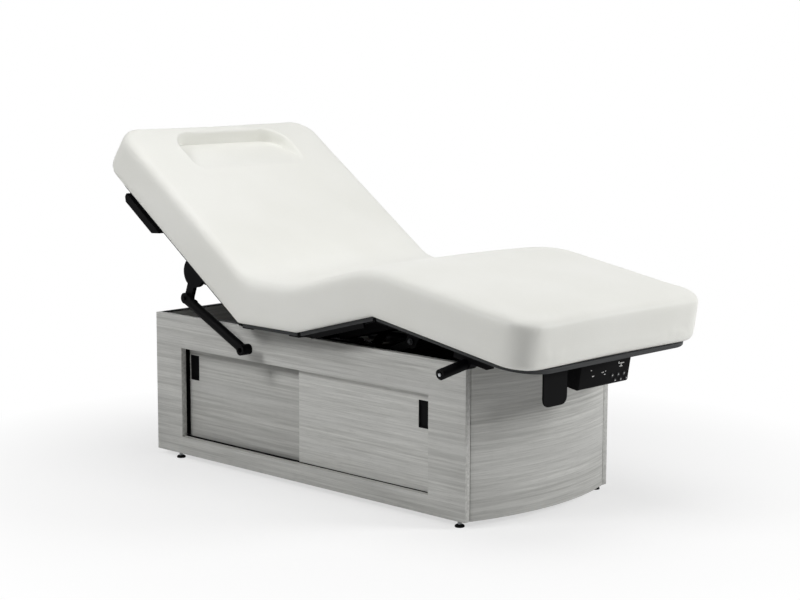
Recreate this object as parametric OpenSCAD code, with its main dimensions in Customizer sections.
// Spa bed on a cabinet base: four padded sections on a steel deck, raised by two
// telescopic columns that stand inside an open-topped cabinet with sliding doors.
// X runs from the head to the foot, Y from the door side to the far side, Z up from the floor.

/* [Cabinet] */
// Length of the cabinet's side panels
cabinet_l = 1320; // [1280:10:1400]
// Width over the side panels
cabinet_w = 626; // [600:2:660]
// Height of the panels
cabinet_h = 440; // [430:5:500]
// Height of the panels above the floor
floor_clearance = 18; // [12:1:30]
// Thickness of the laminated panels
panel_t = 20; // [16:1:24]
// How far the foot panel bows out
bow_depth = 50; // [30:1:70]
// Thickness of the cabinet's bottom board
bottom_t = 16; // [12:1:20]
// Height of the black edge strip on the head panel
edge_strip_h = 3; // [1.5:0.5:4]
// Length of the door opening
opening_l = 1060; // [1000:5:1090]
// Height of the door opening
opening_h = 284; // [240:2:300]
// Height of the sill below the opening
opening_sill = 54; // [44:1:70]
// How far the opening sits towards the head
opening_shift = 9; // [0:1:20]

/* [Sliding doors] */
// Length of one door
door_l = 562; // [550:1:580]
// Thickness of one door
door_t = 12; // [9:1:14]
// Gap between the two doors
door_gap = 3; // [2.6:0.1:4]
// How far a door reaches behind the opening's edges
door_lap = 8; // [5:1:10]
// Length of the finger pull
pull_l = 40; // [30:1:50]
// Height of the finger pull
pull_h = 79; // [60:1:100]
// Distance from a door's outer edge to its pull
pull_inset = 35; // [20:1:60]
// Height of the pulls above the middle of the opening
pull_rise = 78; // [0:1:90]

/* [Mattress] */
// Width of the mattress
mattress_w = 815; // [780:5:850]
// Thickness at the edges
mattress_t = 135; // [110:1:150]
// Rise of the crowned top over its edges
crown_h = 8; // [3:1:14]
// Corner radius in plan
corner_r = 85; // [60:1:110]
// Radius of the soft top edge
top_edge_r = 28; // [18:1:36]
// Radius of the tucked bottom edge
bottom_edge_r = 10; // [6:1:14]
// How far the end faces are drawn in between the corners
end_pull = 4; // [0:1:8]
// Length of the back section
back_l = 785; // [760:1:810]
// Length of the seat section
seat_l = 250; // [240:1:270]
// Length of the thigh section
thigh_l = 317; // [300:1:330]
// Length of the leg section
leg_l = 556; // [540:1:580]
// Depth of the pillow recess at the head
recess_depth = 42; // [25:1:50]
// Width of the pillow recess
recess_w = 465; // [400:5:520]
// Length of the pillow recess
recess_l = 215; // [180:5:240]
// Distance from the head end to the recess
recess_inset = 55; // [45:1:80]

/* [Pose as stored] */
// Angle of the back above flat
back_angle = 35.3; // [0:0.1:75]
// Angle of the thigh section above flat
thigh_angle = 14.9; // [0:0.1:25]
// Slope of the leg section below flat
leg_slope = 9.6; // [4:0.1:14]

/* [Travel] */
// Steepest angle of the back
back_max = 75; // [60:1:80]
// Steepest angle of the thigh section
thigh_max = 25; // [20:1:30]
// Lift of one telescopic stage
stage_travel = 140; // [100:5:160]

/* [Deck] */
// Thickness of the boards under the mattress
board_t = 12; // [10:1:15]
// How far the boards stay inside the mattress edge
board_inset = 24; // [15:1:35]
// Gap between the cabinet's top and the lowered boards
deck_gap = 15.5; // [15:0.5:30]
// Distance from the cabinet's middle to the hip hinge
hip_offset = 173; // [160:1:190]
// Height and width of the deck's square tubes
deck_tube = 40; // [35:1:45]
// Height of the cross beams under the seat
beam_h = 30.5; // [26:0.5:34]
// Height of the section frames' tubes
frame_h = 28; // [22:1:29]
// Width of the section frames' tubes
frame_w = 25; // [20:1:30]

/* [Lift columns] */
// Distance between the two columns
column_span = 760; // [700:10:800]
// Length of the outer tube's section
column_l = 140; // [130:1:160]
// Width of the outer tube's section
column_w = 110; // [100:1:130]
// Wall of the column tubes
column_wall = 6; // [4:0.5:7]
// Sliding clearance between the tubes
column_clear = 0.3; // [0.2:0.1:1]

/* [Actuators] */
// Depth of the rods below the hinges
rod_drop = 70; // [66:1:72]
// Diameter of the actuator's outer tube
actuator_d = 34; // [28:1:36]
// Diameter of the rod
rod_d = 20; // [16:1:24]
// Diameter of the pin at the rod's end
rod_pin_d = 10; // [8:1:12]

/* [Arm carriers] */
// Diameter of the swinging tube
arm_d = 30; // [26:1:34]
// Distance of the tubes from the bed's middle
arm_y = 372; // [366:1:376]
// Length from the elbow to the socket
arm_l = 294; // [250:1:300]
// Bore of the socket at the tube's end
socket_bore_d = 16; // [12:1:20]

/* [Controls] */
// Width of the control box
control_w = 220; // [200:1:260]
// Depth of the box's underside below the hinge line
control_drop = 89; // [80:1:100]
// Distance from the knee to the face of the box
control_reach = 521; // [480:1:530]
// Diameter of a key
key_d = 12; // [9:0.5:14]
// Travel of a key
key_travel = 1.5; // [0.8:0.1:2]

/* [Hidden] */
$fn = 48;

laminate = "#b9b8b2";
steel_black = "#17181a";
board_grey = "#4b4c4d";
vinyl = "#eeeee8";
zinc = "#9a9da0";

// one overrun for every cut, and the play of pieces that sit on one another
over = 2;
seat_gap = 0.3;
half = 0.5;
shank_share = 0.88;

// heights
cabinet_top = floor_clearance + cabinet_h;
pad_z = cabinet_top + deck_gap + board_t;
pivot_lift = board_t * half;
pivot_z = pad_z - pivot_lift;
opening_z = floor_clearance + opening_sill;
beam_z = pad_z - board_t - beam_h;
rail_z = beam_z - deck_tube;
rod_z = pivot_z - rod_drop;

// places along the bed: the origin lies under the middle of the stored bed
thigh_far_x = thigh_l * cos(thigh_angle);
head_reach = hip_offset + back_l * cos(back_angle);
foot_reach = seat_l - hip_offset + thigh_far_x + leg_l * cos(leg_slope) + mattress_t * sin(leg_slope);
cabinet_x = (head_reach - foot_reach) * half;
hip_x = cabinet_x - hip_offset;
thigh_x = hip_x + seat_l;
knee_x = thigh_x + thigh_far_x;
knee_z = pivot_z + thigh_l * sin(thigh_angle);

// directions and normals of the sections in the X-Z plane
back_dir = [-cos(back_angle), sin(back_angle)];
back_up = [sin(back_angle), cos(back_angle)];
thigh_dir = [cos(thigh_angle), sin(thigh_angle)];
thigh_up = [-sin(thigh_angle), cos(thigh_angle)];
leg_dir = [cos(leg_slope), -sin(leg_slope)];
leg_up = [sin(leg_slope), cos(leg_slope)];

// the foot end stays near seat height: the leg folds in a fixed ratio to the thigh
fold_ratio = (thigh_angle + leg_slope) / thigh_angle;
leg_slope_max = (fold_ratio - 1) * thigh_max;

cabinet_half = cabinet_l * half;
inner_half_w = cabinet_w * half - panel_t;
bow_r = (inner_half_w * inner_half_w + bow_depth * bow_depth) / (bow_depth + bow_depth);
bow_x = cabinet_x + cabinet_half + bow_depth - bow_r;
opening_x = cabinet_x - opening_shift - opening_l * half;
board_w = mattress_w - 2 * board_inset;
board_corner_r = corner_r + board_inset;

// a section's own axes: x away from its hinge, y across the bed, z out of the boards,
// with the hinge line as origin
module at_seat() {
    translate([hip_x, 0, pivot_z])
        children();
}

module at_back() {
    translate([hip_x, 0, pivot_z])
        rotate([0, back_angle, 0])
            mirror([1, 0, 0])
                children();
}

module at_thigh() {
    translate([thigh_x, 0, pivot_z])
        rotate([0, -thigh_angle, 0])
            children();
}

module at_leg() {
    translate([knee_x, 0, knee_z])
        rotate([0, leg_slope, 0])
            children();
}

module at_cabinet() {
    translate([cabinet_x, 0, 0])
        children();
}

module both_sides() {
    for (side = [0, 1])
        mirror([0, side, 0])
            children();
}

// a box given by two corners
module span(low, high) {
    translate(low)
        cube(high - low);
}

// a straight strip of half-width r between two points of a plane
module strip_outline(from, to, r) {
    run = to - from;
    translate(from)
        rotate(atan2(run[1], run[0]))
            translate([0, -r])
                square([norm(run), 2 * r]);
}

// a link with a round eye at each end, a little wider than its shank
module bar_outline(from, to, r) {
    translate(from)
        circle(r);
    translate(to)
        circle(r);
    strip_outline(from, to, r * shank_share);
}

// turns an outline drawn in x and z into a plate of thickness t that starts at y
module side_plate(y, t) {
    translate([0, y + t, 0])
        rotate([90, 0, 0])
            linear_extrude(t)
                children();
}

// a round bar along y
module cross_bar(x, z, y0, y1, r) {
    translate([x, y1, z])
        rotate([90, 0, 0])
            cylinder(h = y1 - y0, r = r);
}

// a rectangular tube along x
module tube_x(low, high, wall) {
    difference() {
        span(low, high);
        span(low + [-over, wall, wall], high + [over, -wall, -wall]);
    }
}

// a rectangular tube along y
module tube_y(low, high, wall) {
    difference() {
        span(low, high);
        span(low + [wall, -over, wall], high + [-wall, over, -wall]);
    }
}

// a plate whose corners at its far end are rounded
module end_plate_outline(x0, x1, w, r) {
    translate([x0, -w * half])
        square([x1 - x0 - r, w]);
    translate([x1 - 2 * r, r - w * half])
        square([2 * r, w - 2 * r]);
    for (side = [-1, 1])
        translate([x1 - r, side * (w * half - r)])
            circle(r);
}

// The cabinet: panels, bottom board, feet, door tracks and sliding doors

rail_wall = 2;
pull_depth = 9;
pull_wall = 3;
door_front_y = -inner_half_w + door_gap * half;
door_rear_y = door_front_y + door_t + door_gap;
door_low_z = opening_z - door_lap;
door_high_z = opening_z + opening_h + door_lap;
door_front_x = cabinet_x - opening_shift + opening_l * half + 2 * door_lap + pull_wall - door_l;
door_rear_x = max(opening_x - pull_inset + pull_wall, cabinet_x - cabinet_half + panel_t + seat_gap);

module near_panel() {
    color(laminate)
        difference() {
            at_cabinet()
                span([-cabinet_half, -cabinet_w * half, floor_clearance],
                     [cabinet_half, -inner_half_w, cabinet_top]);
            span([opening_x, -cabinet_w * half - over, opening_z],
                 [opening_x + opening_l, -inner_half_w + over, opening_z + opening_h]);
        }
}

module far_panel() {
    color(laminate)
        at_cabinet()
            span([-cabinet_half, inner_half_w, floor_clearance],
                 [cabinet_half, cabinet_w * half, cabinet_top]);
}

inlet_w = 48;
inlet_h = 28;
inlet_rise = 60;
inlet_body_w = 40;
inlet_body_h = 24;
inlet_body_depth = 30;
inlet_flange = 2.5;
inlet_pocket = 16;
inlet_wall = 4;

module head_panel() {
    color(laminate)
        at_cabinet()
            difference() {
                span([-cabinet_half, -inner_half_w, floor_clearance],
                     [-cabinet_half + panel_t, inner_half_w, cabinet_top - edge_strip_h]);
                span([-cabinet_half - over, -inlet_body_w * half - seat_gap,
                      floor_clearance + inlet_rise - seat_gap],
                     [-cabinet_half + panel_t + over, inlet_body_w * half + seat_gap,
                      floor_clearance + inlet_rise + inlet_body_h + seat_gap]);
            }
}

module head_strip() {
    color(steel_black)
        at_cabinet()
            span([-cabinet_half, -inner_half_w, cabinet_top - edge_strip_h],
                 [-cabinet_half + panel_t, inner_half_w, cabinet_top]);
}

// appliance inlet low on the head panel, with its recessed face
module inlet() {
    middle_z = floor_clearance + inlet_rise + inlet_body_h * half;
    color(steel_black)
        at_cabinet()
            difference() {
                union() {
                    span([-cabinet_half - inlet_flange, -inlet_w * half, middle_z - inlet_h * half],
                         [-cabinet_half, inlet_w * half, middle_z + inlet_h * half]);
                    span([-cabinet_half - inlet_flange, -inlet_body_w * half,
                          middle_z - inlet_body_h * half],
                         [-cabinet_half + inlet_body_depth, inlet_body_w * half,
                          middle_z + inlet_body_h * half]);
                }
                span([-cabinet_half - inlet_flange - over, inlet_wall - inlet_body_w * half,
                      middle_z + inlet_wall - inlet_body_h * half],
                     [-cabinet_half + inlet_pocket, inlet_body_w * half - inlet_wall,
                      middle_z - inlet_wall + inlet_body_h * half]);
            }
}

// the bowed panel stands between the side panels
module foot_panel() {
    color(laminate)
        intersection() {
            translate([bow_x, 0, floor_clearance])
                difference() {
                    cylinder(h = cabinet_h, r = bow_r, $fn = 360);
                    translate([0, 0, -over])
                        cylinder(h = cabinet_h + 2 * over, r = bow_r - panel_t, $fn = 360);
                }
            at_cabinet()
                span([cabinet_half - panel_t - bow_depth, -inner_half_w, floor_clearance],
                     [cabinet_half + bow_depth + over, inner_half_w, cabinet_top]);
        }
}

module floor_board() {
    color(laminate)
        intersection() {
            translate([bow_x, 0, floor_clearance])
                cylinder(h = bottom_t, r = bow_r - panel_t - seat_gap, $fn = 360);
            at_cabinet()
                span([-cabinet_half + panel_t, -inner_half_w, floor_clearance],
                     [cabinet_half + bow_depth, inner_half_w, floor_clearance + bottom_t]);
        }
}

foot_disc_d = 28;
foot_disc_h = 8;
foot_neck_d = 12;
foot_inset_head = 98;
foot_inset_foot = 31;

module feet() {
    foot_y = cabinet_w * half - foot_disc_d * half;
    color(steel_black)
        at_cabinet()
            both_sides()
                for (x = [foot_inset_head - cabinet_half, cabinet_half - foot_inset_foot])
                    translate([x, foot_y, 0]) {
                        cylinder(h = foot_disc_h, d = foot_disc_d);
                        cylinder(h = floor_clearance, d = foot_neck_d);
                    }
}

track_base = 6;
track_lip = 2;
track_end = 14;

// double channels that guide the doors, on the panel's inner face above and below the opening
module tracks() {
    track_l = cabinet_l - 2 * panel_t - 2 * track_end;
    fin_t = door_gap - 2 * seat_gap;
    back_y = door_rear_y + door_t + seat_gap;
    color(steel_black)
        for (low = [true, false])
            at_cabinet()
                translate([-track_l * half, 0, low ? door_low_z - seat_gap : door_high_z + track_lip])
                    mirror([0, 0, low ? 0 : 1]) {
                        span([0, -inner_half_w, -track_base], [track_l, back_y + track_lip, 0]);
                        span([0, door_front_y + door_t + seat_gap, -track_base],
                             [track_l, door_front_y + door_t + seat_gap + fin_t, door_lap]);
                        span([0, back_y, -track_base], [track_l, back_y + track_lip, door_lap]);
                    }
}

module door(x, y, pull_x) {
    pull_z = opening_z + opening_h * half + pull_rise - pull_h * half;
    color(laminate)
        difference() {
            span([x, y, door_low_z], [x + door_l, y + door_t, door_high_z]);
            span([pull_x, y - over, pull_z], [pull_x + pull_l, y + pull_depth, pull_z + pull_h]);
        }
}

// a finger cup let into the door
module pull_cup(y, pull_x) {
    pull_z = opening_z + opening_h * half + pull_rise - pull_h * half;
    color(steel_black)
        difference() {
            span([pull_x, y, pull_z], [pull_x + pull_l, y + pull_depth, pull_z + pull_h]);
            span([pull_x + pull_wall, y - over, pull_z + pull_wall],
                 [pull_x + pull_l - pull_wall, y + pull_depth - pull_wall, pull_z + pull_h - pull_wall]);
        }
}

pull_front_x = door_front_x + door_l - pull_inset - pull_l;
pull_rear_x = door_rear_x + pull_inset;

// The lift columns: three tubes each, one inside the other, with a plate at both ends

column_foot_t = 10;
column_top_t = 10;
column_base_z = floor_clearance + bottom_t;
column_corner_r = 8;
plate_over_l = 18;
plate_over_w = 24;
column_room = rail_z - column_top_t - column_base_z;
stage_l = column_room - column_foot_t - column_clear;

module column_section(l, w, wall) {
    difference() {
        column_outline(l, w, column_corner_r);
        column_outline(l - 2 * wall, w - 2 * wall, column_corner_r - wall * half);
    }
}

module column_outline(l, w, r) {
    square([l - 2 * r, w], center = true);
    square([l, w - 2 * r], center = true);
    for (x = [-1, 1], y = [-1, 1])
        translate([x * (l * half - r), y * (w * half - r)])
            circle(r);
}

module at_columns() {
    for (x = [-column_span * half, column_span * half])
        at_cabinet()
            translate([x, 0, column_base_z])
                children();
}

step = 2 * (column_wall + column_clear);

module outer_columns() {
    color(zinc)
        at_columns() {
            translate([0, 0, column_foot_t])
                linear_extrude(stage_l - column_clear)
                    column_section(column_l, column_w, column_wall);
            linear_extrude(column_foot_t)
                column_outline(column_l + 2 * plate_over_l, column_w + 2 * plate_over_w, column_corner_r);
        }
}

module middle_columns() {
    color(zinc)
        at_columns()
            translate([0, 0, column_foot_t + column_clear])
                linear_extrude(stage_l - 2 * column_clear)
                    column_section(column_l - step, column_w - step, column_wall);
}

module inner_columns() {
    color(zinc)
        at_columns() {
            translate([0, 0, column_foot_t + 2 * column_clear])
                linear_extrude(column_room - column_foot_t - 2 * column_clear)
                    column_section(column_l - 2 * step, column_w - 2 * step, column_wall);
            translate([0, 0, column_room])
                linear_extrude(column_top_t)
                    column_outline(column_l, column_w + 2 * plate_over_w, column_corner_r);
        }
}

// The deck: two long rails, cross tubes, and two beams that carry the seat board

rail_y = 212;
rail_head = 470;
rail_foot = 450;
motor_bar_back = 235;
motor_bar_thigh = 310;
beam_inset = 48;
beam_w = 40;
beam_half_l = 283;
stay_drop_t = 6;
stay_y = rail_y + deck_tube;

// where a point of the leg section stands when the thigh section is at an angle
function knee_at(t) = [thigh_l * cos(t), thigh_l * sin(t)];
function leg_point(t, p) =
    let (s = (fold_ratio - 1) * t)
    knee_at(t) + p[0] * [cos(s), -sin(s)] + p[1] * [sin(s), cos(s)];

// the centre of the circle through three points
function circle_centre(a, b, c) =
    let (
        p = (a * a - b * b) * half,
        q = (b * b - c * c) * half,
        u = a - b,
        v = b - c,
        det = u[0] * v[1] - u[1] * v[0]
    )
    [(p * v[1] - q * u[1]) / det, (q * u[0] - p * v[0]) / det];

crank_u = 41;
crank_drop = 70;
crank_pin = [crank_u, -crank_drop];
mid_share = 0.6;
mid_angle = thigh_max * mid_share;
stay_foot = circle_centre(leg_point(0, crank_pin), leg_point(mid_angle, crank_pin),
                          leg_point(thigh_max, crank_pin));
stay_head = leg_point(thigh_angle, crank_pin);
stay_pin_d = 12;
stay_r = 12.5;
stay_eye_r = 17;
stay_t = 6;
stay_clear = 1;
stay_play = 3.5;
lug_r = 24;

module rails() {
    color(steel_black)
        both_sides() {
            at_cabinet()
                tube_x([-rail_head, rail_y, rail_z], [rail_foot, rail_y + deck_tube, rail_z + deck_tube],
                       rail_wall);
            translate([thigh_x, 0, pivot_z]) {
                // hanging lug and pin that carry the stay
                side_plate(stay_y - stay_drop_t, stay_drop_t) {
                    translate(stay_foot)
                        circle(lug_r);
                    translate([stay_foot[0] - lug_r, stay_foot[1]])
                        square([2 * lug_r, rail_z - pivot_z - stay_foot[1]]);
                }
                cross_bar(stay_foot[0], stay_foot[1], stay_y - stay_drop_t,
                          stay_y + stay_clear + stay_t + stay_clear, stay_pin_d * half);
            }
        }
}

module crossbars() {
    color(steel_black) {
        for (x = [cabinet_x - column_span * half, cabinet_x + column_span * half,
                  cabinet_x + motor_bar_back, cabinet_x - motor_bar_thigh])
            tube_y([x - deck_tube * half, -rail_y, rail_z],
                   [x + deck_tube * half, rail_y, rail_z + deck_tube], rail_wall);
        for (x = [hip_x + beam_inset, thigh_x - beam_inset - beam_w])
            tube_y([x, -beam_half_l, beam_z], [x + beam_w, beam_half_l, beam_z + beam_h], rail_wall);
    }
}

board_gap = 8;

module board_of_seat() {
    color(board_grey)
        at_seat()
            span([board_gap, -board_w * half, -pivot_lift],
                 [seat_l - board_gap, board_w * half, pivot_lift]);
}

// The butt hinges between the boards, one near each edge

hinge_y = 350;
knuckle_r = 5.5;
hinge_pin_r = 3;
pin_clear = 0.05;
leaf_from = 6.5;
leaf_l = 45;
leaf_t = 4;
web_x = 3;
knuckle_l = 18;
knuckle_mid_l = 24;
knuckle_gap = 0.5;

// turns a hinge half round so that it sits at the far edge of a section of length l
module far_edge(l) {
    translate([l, 0, 0])
        mirror([1, 0, 0])
            children();
}

// the half of a butt hinge that holds the pin, with its leaf towards +x
module leaf_with_pin() {
    run = knuckle_l + knuckle_gap + knuckle_mid_l * half;
    color(steel_black)
        both_sides()
            translate([0, hinge_y, 0]) {
                span([leaf_from, -run, -pivot_lift - leaf_t], [leaf_l, run, -pivot_lift]);
                for (side = [-1, 1])
                    mirror([0, side > 0 ? 0 : 1, 0]) {
                        cross_bar(0, 0, knuckle_mid_l * half + knuckle_gap, run, knuckle_r);
                        span([web_x, knuckle_mid_l * half + knuckle_gap, -pivot_lift - leaf_t],
                             [board_gap, run, 0]);
                    }
                cross_bar(0, 0, -run - knuckle_gap, run + knuckle_gap, hinge_pin_r);
            }
}

// the other half, drilled for the pin, with its leaf towards +x
module leaf_drilled() {
    run = knuckle_l + knuckle_gap + knuckle_mid_l * half;
    color(steel_black)
        both_sides()
            translate([0, hinge_y, 0])
                difference() {
                    union() {
                        span([leaf_from, -run, -pivot_lift - leaf_t], [leaf_l, run, -pivot_lift]);
                        cross_bar(0, 0, -knuckle_mid_l * half, knuckle_mid_l * half, knuckle_r);
                        span([web_x, -knuckle_mid_l * half, -pivot_lift - leaf_t],
                             [board_gap, knuckle_mid_l * half, 0]);
                    }
                    cross_bar(0, 0, -run - over, run + over, hinge_pin_r + pin_clear);
                }
}

// The back section: board, frame and the lever that its actuator works

frame_y = 225;
frame_wall = 2;
frame_start = 25;
back_frame_end = 430;
torsion_x = 45;
torsion_r = 14;
torsion_gap = 1.5;
torsion_z = -pivot_lift - torsion_gap - torsion_r;
lever_t = 8;
lever_r = 15;
slot_lead = 3;
back_slot_play = 2.5;
thigh_slot_play = 0.5;
back_slot_share = 0.27;
thigh_slot_share = 0.06;
actuator_y = 70;
back_half_swing = back_max * half;
thigh_half_swing = thigh_max * half;
// rod movement for each radian of the section, a little more than the drop so that
// the straight path of the rod stays close to the lever's arc
back_gain_share = 1.11;
thigh_gain_share = 1.015;
back_per_degree = back_gain_share * rod_drop * PI / 180;
thigh_per_degree = thigh_gain_share * rod_drop * PI / 180;
// rest places of the two rod pins, from their section's hinge line
back_pin_x = (back_half_swing - back_angle) * back_per_degree;
thigh_pin_x = (thigh_angle - thigh_half_swing) * thigh_per_degree;

module board_of_back() {
    color(board_grey)
        at_back()
            translate([0, 0, -pivot_lift])
                linear_extrude(board_t)
                    end_plate_outline(board_gap, back_l - board_inset, board_w, board_corner_r);
}

module frame_rails(from, to, y) {
    both_sides()
        tube_x([from, y, -pivot_lift - frame_h], [to, y + frame_w, -pivot_lift], frame_wall);
}

module rails_of_back() {
    color(steel_black)
        at_back()
            frame_rails(frame_start, back_frame_end, frame_y);
}

// torsion tube and slotted lever; the rod's pin works in the slot
module section_lever(y, half_swing, slot_run, slot_play) {
    slot_r = rod_pin_d * half + slot_play;
    out = [-sin(half_swing), -cos(half_swing)];
    near_end = out * (rod_drop - slot_lead);
    far_end = out * (rod_drop + slot_run);
    cross_bar(torsion_x, torsion_z, -frame_y, frame_y, torsion_r);
    side_plate(y - lever_t * half, lever_t)
        difference() {
            union() {
                bar_outline(near_end, far_end, lever_r);
                bar_outline([torsion_x, torsion_z], near_end, lever_r);
            }
            strip_outline(near_end - slot_r * out, far_end + slot_r * out, slot_r);
        }
}

module lever_of_back() {
    color(steel_black)
        at_back()
            section_lever(actuator_y, back_half_swing, rod_drop * back_slot_share, back_slot_play);
}

// The thigh section

thigh_edge_h = 14;
thigh_edge_w = 8;

module board_of_thigh() {
    color(board_grey)
        at_thigh()
            span([board_gap, -board_w * half, -pivot_lift],
                 [thigh_l - board_gap, board_w * half, pivot_lift]);
}

module rails_of_thigh() {
    at_thigh() {
        color(steel_black)
            frame_rails(frame_start, thigh_l - frame_start, frame_y);
        color(board_grey)
            both_sides()
                span([leaf_l + web_x, board_w * half - thigh_edge_w, -pivot_lift - thigh_edge_h],
                     [thigh_l - leaf_l - web_x, board_w * half, -pivot_lift]);
    }
}

module lever_of_thigh() {
    color(steel_black)
        at_thigh()
            section_lever(-actuator_y, thigh_half_swing, rod_drop * thigh_slot_share, thigh_slot_play);
}

// The leg section, which the stays fold as the thigh section rises

leg_frame_y = 245;
leg_frame_end = 235;
crank_y = stay_y + stay_clear + stay_t + stay_clear;
crank_t = 6;
crank_eye_r = 20;
crank_root_l = 36;
bolt_head_d = 17;
bolt_head_h = 5;
// the board reaches over the control box
leg_board_end = max(leg_l - pivot_lift, control_reach);

module board_of_leg() {
    color(board_grey)
        at_leg()
            translate([0, 0, -pivot_lift])
                linear_extrude(board_t)
                    end_plate_outline(board_gap, leg_board_end, board_w, board_corner_r);
}

module rails_of_leg() {
    color(steel_black)
        at_leg()
            frame_rails(frame_start, leg_frame_end, leg_frame_y - frame_w * half);
}

// plates that hang from the leg frame; each stay is bolted to one with play round the pin
module cranks() {
    color(steel_black)
        at_leg()
            both_sides() {
                side_plate(crank_y, crank_t) {
                    translate(crank_pin)
                        circle(crank_eye_r);
                    polygon([
                        crank_pin - [crank_eye_r, 0],
                        crank_pin + [crank_eye_r, 0],
                        [crank_u + crank_root_l, -pivot_lift - frame_h],
                        [crank_u + crank_root_l, -pivot_lift],
                        [frame_start, -pivot_lift],
                        [frame_start, -pivot_lift - frame_h]
                    ]);
                }
                span([frame_start, leg_frame_y + frame_w * half, -pivot_lift - frame_h],
                     [crank_u + crank_root_l, crank_y, -pivot_lift]);
                cross_bar(crank_pin[0], crank_pin[1], stay_y + stay_clear, crank_y, stay_pin_d * half);
                cross_bar(crank_pin[0], crank_pin[1], crank_y, crank_y + crank_t + bolt_head_h,
                          bolt_head_d * half);
            }
}

// flat links from the deck to the cranks
module stays() {
    color(steel_black)
        translate([thigh_x, 0, pivot_z])
            both_sides()
                side_plate(stay_y + stay_clear, stay_t)
                    difference() {
                        union() {
                            bar_outline(stay_foot, stay_head, stay_r);
                            translate(stay_head)
                                circle(stay_eye_r);
                        }
                        translate(stay_foot)
                            circle(stay_pin_d * half + pin_clear);
                        translate(stay_head)
                            circle(stay_pin_d * half + stay_play);
                    }
}

// The actuators that raise the back and the thigh section

motor_l = 95;
motor_w = 62;
motor_h = 46;
rod_clear = 0.5;
fork_r = 10;
fork_reach = 30;
fork_ear = 6;
fork_play = 0.7;
tube_stroke_room = 60;

// motor, gear housing and outer tube, drawn with the rod's pin at the origin and the body towards +x
module actuator_body(rear, front) {
    translate([rear - motor_l, -motor_w * half, -motor_h * half])
        difference() {
            cube([motor_l, motor_w, motor_h]);
            translate([-over, motor_w * half, motor_h * half])
                rotate([0, 90, 0])
                    cylinder(h = motor_l * half, r = rod_d * half + rod_clear);
        }
    translate([front, 0, 0])
        rotate([0, 90, 0])
            difference() {
                cylinder(h = rear - motor_l - front, d = actuator_d);
                translate([0, 0, -over])
                    cylinder(h = rear, r = rod_d * half + rod_clear);
            }
}

module actuator_rod(reach) {
    plate = lever_t + 2 * fork_play;
    translate([fork_reach, 0, 0])
        rotate([0, 90, 0])
            cylinder(h = reach, d = rod_d);
    for (side = [-1, 1])
        side_plate(side > 0 ? plate * half : -plate * half - fork_ear, fork_ear)
            bar_outline([0, 0], [fork_reach, 0], fork_r);
    span([fork_reach - fork_ear * half, -plate * half, -fork_r],
         [fork_reach + fork_ear, plate * half, fork_r]);
    cross_bar(0, 0, -plate * half - fork_ear, plate * half + fork_ear, rod_pin_d * half);
}

back_rear = cabinet_x + motor_bar_back - deck_tube * half - hip_x - back_pin_x;
thigh_rear = thigh_x + thigh_pin_x - (cabinet_x - motor_bar_thigh + deck_tube * half);
back_stroke_in = back_angle * back_per_degree;
thigh_stroke_in = thigh_angle * thigh_per_degree;

module at_back_rod() {
    translate([hip_x + back_pin_x, actuator_y, rod_z])
        children();
}

module at_thigh_rod() {
    translate([thigh_x + thigh_pin_x, -actuator_y, rod_z])
        mirror([1, 0, 0])
            children();
}

module motor_of_back() {
    color(zinc)
        at_back_rod()
            actuator_body(back_rear, fork_reach + fork_ear + fork_r + back_stroke_in);
}

module rod_of_back() {
    color(zinc)
        at_back_rod()
            actuator_rod(back_stroke_in + tube_stroke_room + (back_max - back_angle) * back_per_degree);
}

module motor_of_thigh() {
    color(zinc)
        at_thigh_rod()
            actuator_body(thigh_rear, fork_reach + fork_ear + fork_r + thigh_stroke_in);
}

module rod_of_thigh() {
    color(zinc)
        at_thigh_rod()
            actuator_rod(thigh_stroke_in + tube_stroke_room + (thigh_max - thigh_angle) * thigh_per_degree);
}

// The arm carriers, the accessory receivers and the sockets

knuckle_disc = [271, -29];
knuckle_disc_r = 47;
elbow = [248, -113];
link_r = 17;
link_t = 14;
link_gap = 1;
flange_from = 208;
flange_to = 318;
flange_drop = 26;
elbow_pin_r = 6;
lug_t = 12;
lug_reach = 26;
link_y = arm_y - lug_t * half - link_gap - link_t;
arm_pitch = 9.5;
boss_r = 16;
boss_l = 36;

// a bracket under each edge of the back, with a round knuckle and a link down to the elbow
module brackets() {
    color(steel_black)
        at_back()
            both_sides() {
                side_plate(link_y, link_t) {
                    difference() {
                        translate(knuckle_disc)
                            circle(knuckle_disc_r);
                        translate([knuckle_disc[0] - 2 * knuckle_disc_r, -pivot_lift])
                            square([4 * knuckle_disc_r, 2 * knuckle_disc_r]);
                    }
                    bar_outline(knuckle_disc, elbow, link_r);
                }
                span([flange_from, link_y - link_t, -flange_drop],
                     [flange_to, link_y + link_t, -pivot_lift]);
                cross_bar(elbow[0], elbow[1], link_y, arm_y + lug_t * half + elbow_pin_r, elbow_pin_r);
            }
}

// the swinging tube, with its lug on the elbow's pin and a cross socket at its far end
module arm_tube() {
    at_back()
        translate([elbow[0], arm_y, elbow[1]])
            rotate([0, 180 + arm_pitch, 0])
                mirror([0, 0, 1]) {
                    difference() {
                        union() {
                            side_plate(-lug_t * half, lug_t)
                                bar_outline([0, 0], [lug_reach + arm_d * half, 0], link_r);
                            translate([lug_reach, 0, 0])
                                rotate([0, 90, 0])
                                    cylinder(h = arm_l - lug_reach, d = arm_d);
                            cross_bar(arm_l, 0, -boss_l + arm_d * half, arm_d * half, boss_r);
                        }
                        cross_bar(0, 0, -arm_d, arm_d, elbow_pin_r + pin_clear);
                        cross_bar(arm_l, 0, -boss_l - over, arm_d, socket_bore_d * half);
                    }
                }
}

module arm_of_near_side() {
    color(steel_black)
        mirror([0, 1, 0])
            arm_tube();
}

module arm_of_far_side() {
    color(steel_black)
        arm_tube();
}

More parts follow.
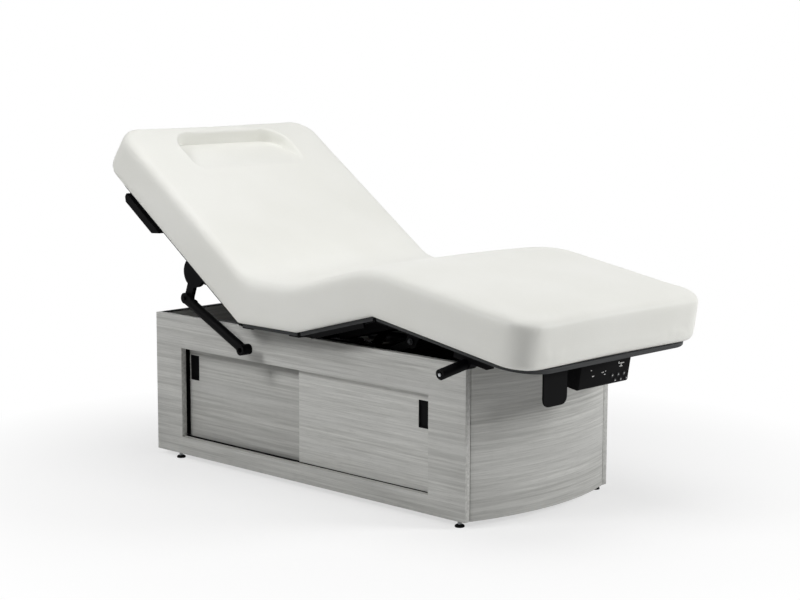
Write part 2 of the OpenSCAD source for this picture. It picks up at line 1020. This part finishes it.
receiver_from = 433;
receiver_to = 629;
receiver_slant = 30;
receiver_bevel = 12;
receiver_h = 24;
receiver_inner = 340;
receiver_outer = 400;

// black accessory receivers under the edges of the back
module receivers() {
    color(steel_black)
        at_back()
            both_sides()
                side_plate(receiver_inner, receiver_outer - receiver_inner)
                    polygon([
                        [receiver_from, -pivot_lift],
                        [receiver_to, -pivot_lift],
                        [receiver_to, -pivot_lift - receiver_bevel],
                        [receiver_to - receiver_bevel, -pivot_lift - receiver_h],
                        [receiver_from + receiver_slant, -pivot_lift - receiver_h]
                    ]);
}

socket_block_from = 275;
socket_block_to = 395;
socket_block_inner = 322;
socket_block_outer = 352;
socket_block_h = 28;
socket_root_r = 20;
socket_u = 318;
socket_drop = 36;
socket_d = 30;
socket_reach = 446;
socket_tilt = 10;
socket_screw_d = 9;
socket_screw_h = 2.5;

socket_run = (socket_reach - socket_block_inner) / cos(socket_tilt);

module at_socket() {
    at_leg()
        both_sides()
            translate([socket_u, socket_block_inner, -socket_drop])
                rotate([-90 - socket_tilt, 0, 0])
                    children();
}

// short tubes that slope out from a block under each edge of the leg section
module sockets() {
    color(steel_black) {
        at_leg()
            both_sides() {
                span([socket_block_from, socket_block_inner, -pivot_lift - socket_block_h],
                     [socket_block_to, socket_block_outer, -pivot_lift]);
                cross_bar(socket_u, -socket_drop, socket_block_inner, socket_block_outer, socket_root_r);
            }
        at_socket()
            translate([0, 0, socket_root_r * half])
                cylinder(h = socket_run - socket_root_r * half, d = socket_d);
    }
}

module screws_of_sockets() {
    color(zinc)
        at_socket()
            translate([0, 0, socket_run])
                cylinder(h = socket_screw_h, d = socket_screw_d);
}

// The control box under the foot end, its keys and the hanger beside it

control_depth = 90;
control_bevel = 4;
holster_from = 170;
holster_to = 267;
holster_drop = 98;
holster_t = 6;
holster_r = 22;
holster_flange = 36;
holster_setback = 1;
holster_lip = 2;
key_pitch = 26;
key_row_shift = 15;
key_row_1 = 63;
key_row_2 = 79;
key_first_y = 34;
key_proud = 2;
key_well = 4;
key_play = 0.3;

function key_place(i) = [
    control_reach,
    key_first_y + (i % 3) * key_pitch + (i > 2 ? key_row_shift : 0),
    i > 2 ? -key_row_2 : -key_row_1
];

module box_of_controls() {
    color(steel_black)
        at_leg()
            difference() {
                side_plate(-control_w * half, control_w)
                    polygon([
                        [control_reach - control_depth, -pivot_lift],
                        [control_reach, -pivot_lift],
                        [control_reach, control_bevel - control_drop],
                        [control_reach - control_bevel, -control_drop],
                        [control_reach - control_depth, -control_drop]
                    ]);
                for (i = [0:5])
                    translate(key_place(i) - [key_well, 0, 0])
                        rotate([0, 90, 0])
                            cylinder(h = key_well + over, d = key_d + 2 * key_play);
            }
}

// a hanger beside the box: a plumb plate with rounded lower corners below a flange
module holster() {
    corner = [for (i = [0:corner_steps]) 90 * i / corner_steps];
    far_y = holster_r - holster_to;
    near_y = -holster_from - holster_r;
    low_z = holster_r - holster_drop;
    color(steel_black)
        at_leg()
            translate([control_reach, 0, -pivot_lift - holster_t]) {
                span([-holster_flange, -holster_to - holster_lip, 0],
                     [0, holster_lip - holster_from, holster_t]);
                rotate([0, -leg_slope, 0])
                    translate([-holster_t - holster_setback, 0, 0])
                        rotate([90, 0, 90])
                            linear_extrude(holster_t)
                                polygon(concat(
                                    [[-holster_to, holster_t * half]],
                                    [for (a = corner)
                                        [far_y - holster_r * cos(a), low_z - holster_r * sin(a)]],
                                    [for (a = corner)
                                        [near_y + holster_r * sin(a), low_z - holster_r * cos(a)]],
                                    [[-holster_from, holster_t * half]]
                                ));
            }
}

module key(i) {
    color(vinyl)
        at_leg()
            translate(key_place(i) - [key_well - key_travel - key_play, 0, 0])
                rotate([0, 90, 0])
                    cylinder(h = key_well - key_travel - key_play + key_proud, d = key_d);
}

// The mattress: a pad on each board and a fold over each hinge line

// height above the boards and inset from the outline, from the tucked bottom edge,
// up the side, over the soft top edge and across the crown
bottom_steps = 2;
top_steps = 4;
crown_steps = 4;
half_w = mattress_w * half;
ridge_share = 0.97;
edge_profile = concat(
    [for (i = [0:bottom_steps])
        let (a = 90 * i / bottom_steps)
        [bottom_edge_r * (1 - cos(a)), bottom_edge_r * (1 - sin(a))]],
    [for (i = [0:top_steps])
        let (a = 90 * i / top_steps)
        [mattress_t - top_edge_r + top_edge_r * sin(a), top_edge_r * (1 - cos(a))]],
    [for (i = [1:crown_steps])
        let (s = ridge_share * i / crown_steps)
        [mattress_t + crown_h * (1 - (1 - s) * (1 - s)), top_edge_r + (half_w - top_edge_r) * s]]
);
corner_steps = 6;
end_steps = 4;

// one closed ring of a section that starts at x0 and has a rounded far end at x1
function end_ring(x0, x1, d, h) =
    let (
        y = half_w - d,
        r = max(corner_r - d, bottom_edge_r * half),
        x = x1 - d
    )
    concat(
        [[x0, -y, h]],
        [for (i = [0:corner_steps])
            let (a = 90 * i / corner_steps)
            [x - r + r * sin(a), -y + r - r * cos(a), h]],
        [for (i = [1:end_steps - 1])
            let (t = i / end_steps)
            [x - end_pull * 4 * t * (1 - t), (y - r) * (2 * t - 1), h]],
        [for (i = [0:corner_steps])
            let (a = 90 - 90 * i / corner_steps)
            [x - r + r * sin(a), y - r + r * cos(a), h]],
        [[x0, y, h]]
    );

function middle_ring(x0, x1, d, h) =
    let (y = half_w - d)
    [[x0, -y, h], [x1, -y, h], [x1, y, h], [x0, y, h]];

// closed surface over a stack of rings that all have the same number of points
module ring_solid(rings) {
    n = len(rings[0]);
    m = len(rings);
    points = [for (ring = rings) each ring];
    faces = concat(
        [for (i = [1:n - 2]) [0, i, i + 1]],
        [for (k = [0:m - 2], i = [0:n - 1])
            let (j = (i + 1) % n)
            each [[k * n + i, (k + 1) * n + j, k * n + j], [k * n + i, (k + 1) * n + i, (k + 1) * n + j]]],
        [for (i = [1:n - 2]) [(m - 1) * n, (m - 1) * n + i + 1, (m - 1) * n + i]]
    );
    polyhedron(points, faces, convexity = 4);
}

// mitre: the start face leans over by this angle, just clear of the hinge line
pad_play = seat_gap * half;
function lean_x(h, lean) = (h + pivot_lift) * tan(lean) + pad_play;

module end_pad(l, lean) {
    translate([0, 0, pivot_lift])
        ring_solid([for (p = edge_profile) end_ring(lean_x(p[0], lean), l, p[1], p[0])]);
}

module middle_pad(l, lean_a, lean_b) {
    translate([0, 0, pivot_lift])
        ring_solid([for (p = edge_profile)
            middle_ring(lean_x(p[0], lean_a), l - lean_x(p[0], lean_b), p[1], p[0])]);
}

hip_lean = back_max * half;
thigh_lean = thigh_max * half;
fold_play = 0.2;

recess_r = 80;
recess_fade = 8;

// the pillow recess: deepest at the head, its floor rises to the surface towards the seat
module recess() {
    from = back_l - recess_inset - recess_l;
    to = back_l - recess_inset;
    slope = atan((recess_depth + recess_fade) / recess_l);
    intersection() {
        translate([0, 0, pivot_lift])
            linear_extrude(mattress_t + 2 * crown_h) {
                translate([from + recess_r, -recess_w * half])
                    square([recess_l - 2 * recess_r, recess_w]);
                translate([from, recess_r - recess_w * half])
                    square([recess_l, recess_w - 2 * recess_r]);
                for (x = [from + recess_r, to - recess_r], y = [-1, 1])
                    translate([x, y * (recess_w * half - recess_r)])
                        circle(recess_r);
            }
        translate([to, 0, pivot_lift + mattress_t + crown_h - recess_depth - recess_fade])
            rotate([0, slope, 0])
                span([-2 * recess_l, -recess_w, 0], [recess_l, recess_w, 2 * recess_l]);
    }
}

module pad_of_back() {
    color(vinyl)
        at_back()
            difference() {
                end_pad(back_l, hip_lean);
                recess();
            }
}

module pad_of_seat() {
    color(vinyl)
        at_seat()
            middle_pad(seat_l, hip_lean, thigh_lean);
}

module pad_of_thigh() {
    color(vinyl)
        at_thigh()
            middle_pad(thigh_l, thigh_lean, 0);
}

module pad_of_leg() {
    color(vinyl)
        at_leg()
            end_pad(leg_l, 0);
}

// cross-section of the mattress as heights and distances from the middle
section_points = concat(
    [for (p = edge_profile) [p[0], p[1] - half_w]],
    [for (i = [len(edge_profile) - 1:-1:0]) [edge_profile[i][0], half_w - edge_profile[i][1]]]
);

// the section's outline on a plane through the hinge, leaning by an angle from the
// normal of a section that runs along dir
function fold_ring(hinge, dir, up, lean, play) = [
    for (s = section_points)
        let (
            h = s[0] + pivot_lift,
            p = hinge + (h * tan(lean) - play) * dir + h * up
        )
        [p[0], s[1], p[1]]
];

// the cushion between two sections: it fills the fold and gives way as the fold closes
module fold_pad(hinge, dir_a, up_a, lean_a, dir_b, up_b, lean_b, middle) {
    ring_solid([
        fold_ring(hinge, dir_a, up_a, lean_a, fold_play),
        fold_ring(hinge, dir_a, up_a, middle, 0),
        fold_ring(hinge, dir_b, up_b, lean_b, fold_play)
    ]);
}

module fold_of_hip() {
    color(vinyl)
        fold_pad([hip_x, pivot_z], back_dir, back_up, hip_lean, [1, 0], [0, 1], hip_lean,
                 back_angle * half);
}

module fold_of_seat() {
    color(vinyl)
        fold_pad([thigh_x, pivot_z], [-1, 0], [0, 1], thigh_lean, thigh_dir, thigh_up, thigh_lean,
                 thigh_angle * half);
}

module fold_of_knee() {
    color(vinyl)
        fold_pad([knee_x, knee_z], -thigh_dir, thigh_up, 0, leg_dir, leg_up, 0,
                 -(thigh_angle + leg_slope) * half);
}

near_panel();  // panel_near
far_panel();  // panel_far
head_panel();  // panel_head
head_strip();  // head_edge
foot_panel();  // panel_foot
floor_board();  // bottom_board
feet();  // levelling_feet
tracks();  // door_tracks
inlet();  // mains_inlet
door(door_front_x, door_front_y, pull_front_x);  // door_front
door(door_rear_x, door_rear_y, pull_rear_x);  // door_rear
pull_cup(door_front_y, pull_front_x);  // pull_front
pull_cup(door_rear_y, pull_rear_x);  // pull_rear
outer_columns();  // columns_outer
middle_columns();  // columns_middle
inner_columns();  // columns_inner
rails();  // deck_rails
crossbars();  // deck_crossbars
board_of_seat();  // seat_board
at_seat() leaf_with_pin();  // hinge_hip_fixed
at_back() leaf_drilled();  // hinge_hip_moving
at_seat() far_edge(seat_l) leaf_with_pin();  // hinge_seat_fixed
at_thigh() leaf_drilled();  // hinge_seat_moving
at_thigh() far_edge(thigh_l) leaf_with_pin();  // hinge_knee_fixed
at_leg() leaf_drilled();  // hinge_knee_moving
board_of_back();  // back_board
rails_of_back();  // back_rails
lever_of_back();  // back_lever
board_of_thigh();  // thigh_board
rails_of_thigh();  // thigh_rails
lever_of_thigh();  // thigh_lever
board_of_leg();  // leg_board
rails_of_leg();  // leg_rails
cranks();  // leg_cranks
stays();  // leg_stays
motor_of_back();  // back_motor
rod_of_back();  // back_rod
motor_of_thigh();  // thigh_motor
rod_of_thigh();  // thigh_rod
brackets();  // arm_brackets
arm_of_near_side();  // arm_near
arm_of_far_side();  // arm_far
receivers();  // side_receivers
sockets();  // leg_sockets
screws_of_sockets();  // socket_screws
box_of_controls();  // control_box
holster();  // control_holster
key(0);  // key_1
key(1);  // key_2
key(2);  // key_3
key(3);  // key_4
key(4);  // key_5
key(5);  // key_6
pad_of_back();  // pad_back
pad_of_seat();  // pad_seat
pad_of_thigh();  // pad_thigh
pad_of_leg();  // pad_leg
fold_of_hip();  // fold_hip
fold_of_seat();  // fold_seat
fold_of_knee();  // fold_knee
